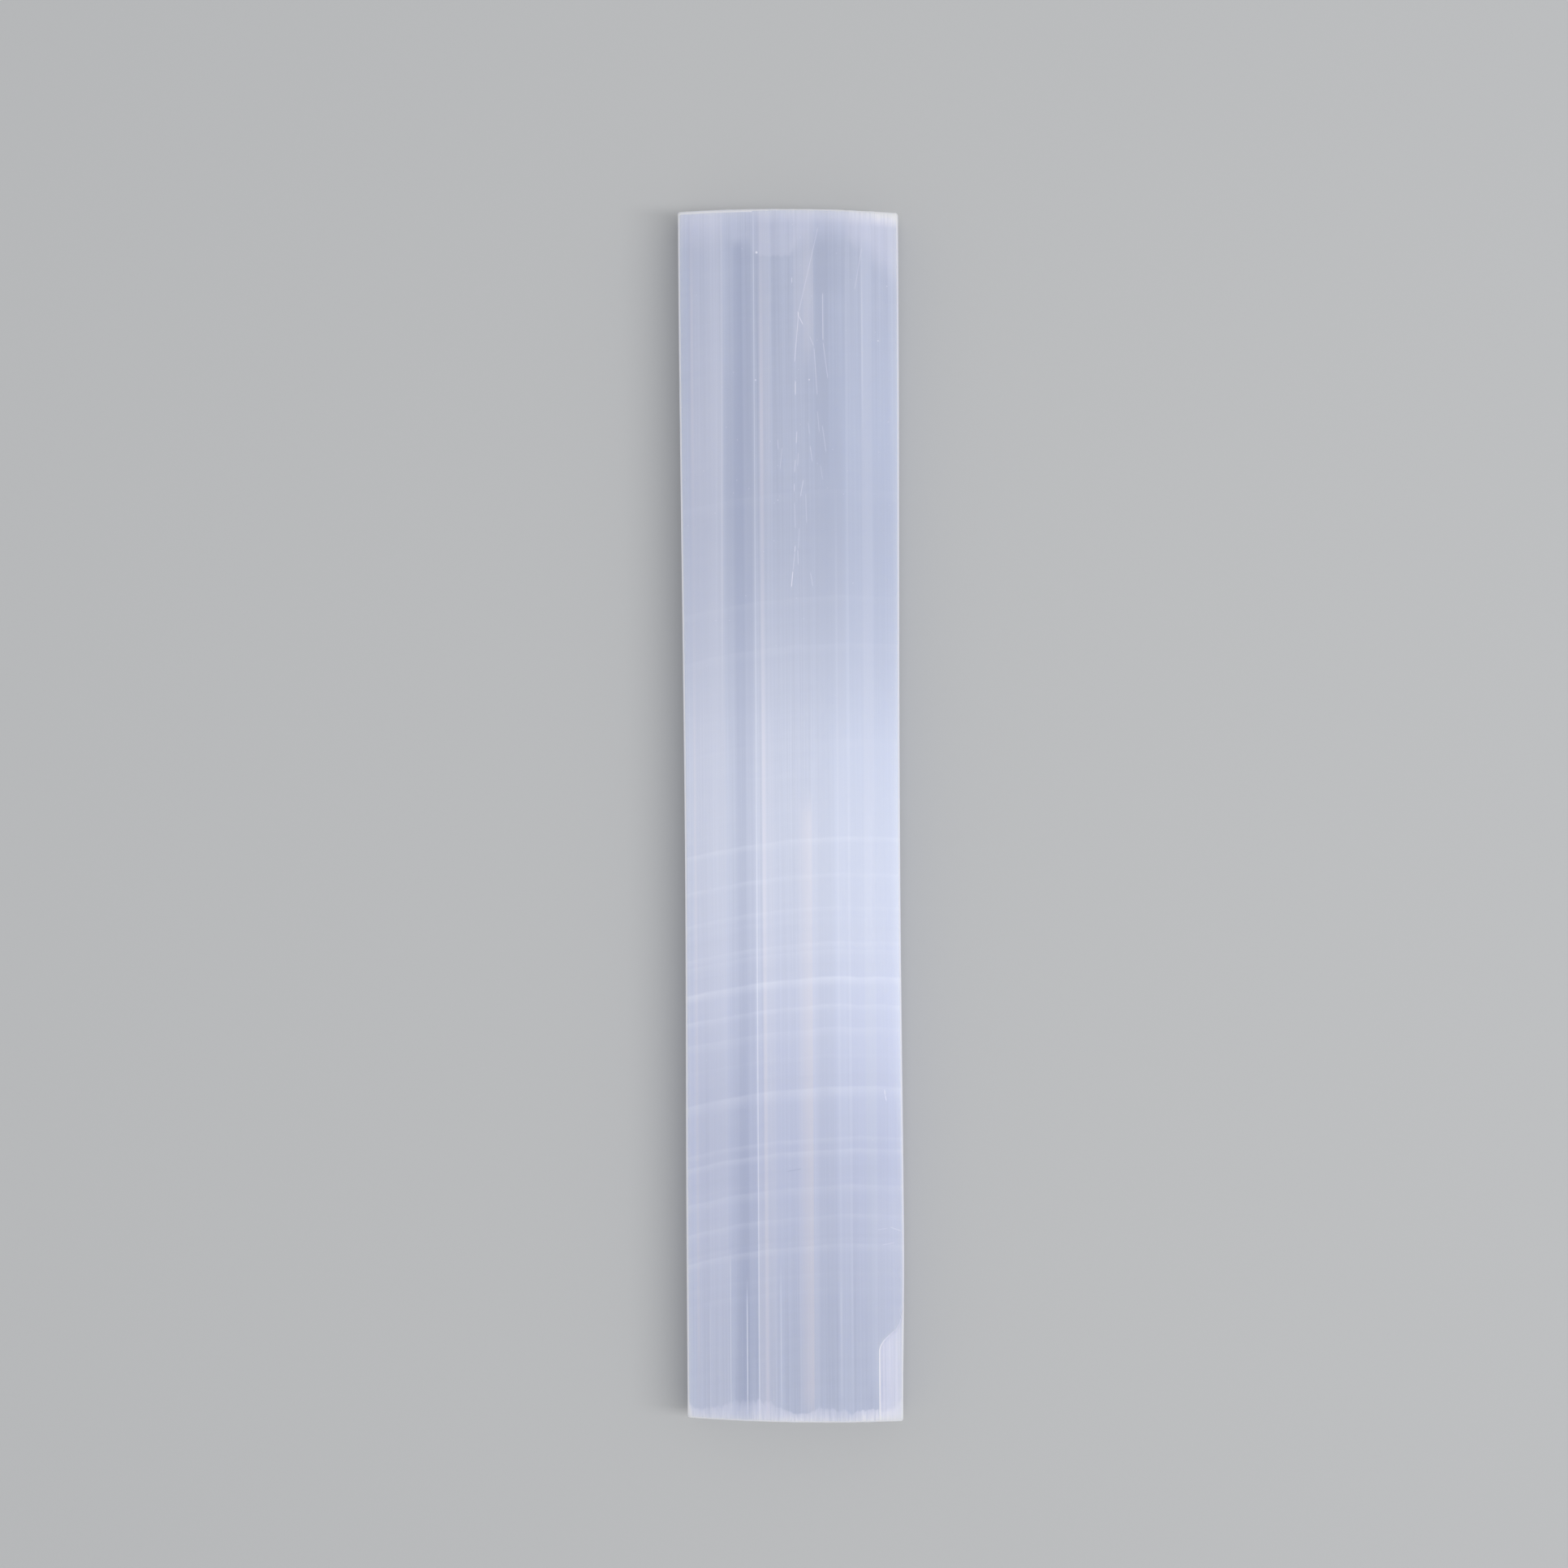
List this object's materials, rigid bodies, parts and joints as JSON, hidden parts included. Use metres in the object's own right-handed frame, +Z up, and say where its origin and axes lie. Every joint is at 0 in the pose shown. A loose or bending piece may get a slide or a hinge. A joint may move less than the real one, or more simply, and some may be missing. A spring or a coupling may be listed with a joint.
{
  "type": "selenite bar",
  "caption": "Flat bar of satin-spar selenite with a gently crowned face, tumbled edges, skewed sawn ends and a small split flake at one corner.",
  "frame": {"origin": "under the middle of the bar, on the surface it rests on", "axes": "+Z up, through the bar's thickness; +Y along the bar's length and its fibres; +X across it"},
  "size_m": [0.0364, 0.2002, 0.01],
  "materials": {
    "selenite": "silky, tumbled smooth, milky and slightly translucent along the fibres"
  },
  "bodies": {
    "root": {"selenite_bar": "selenite"}
  },
  "joints": []
}
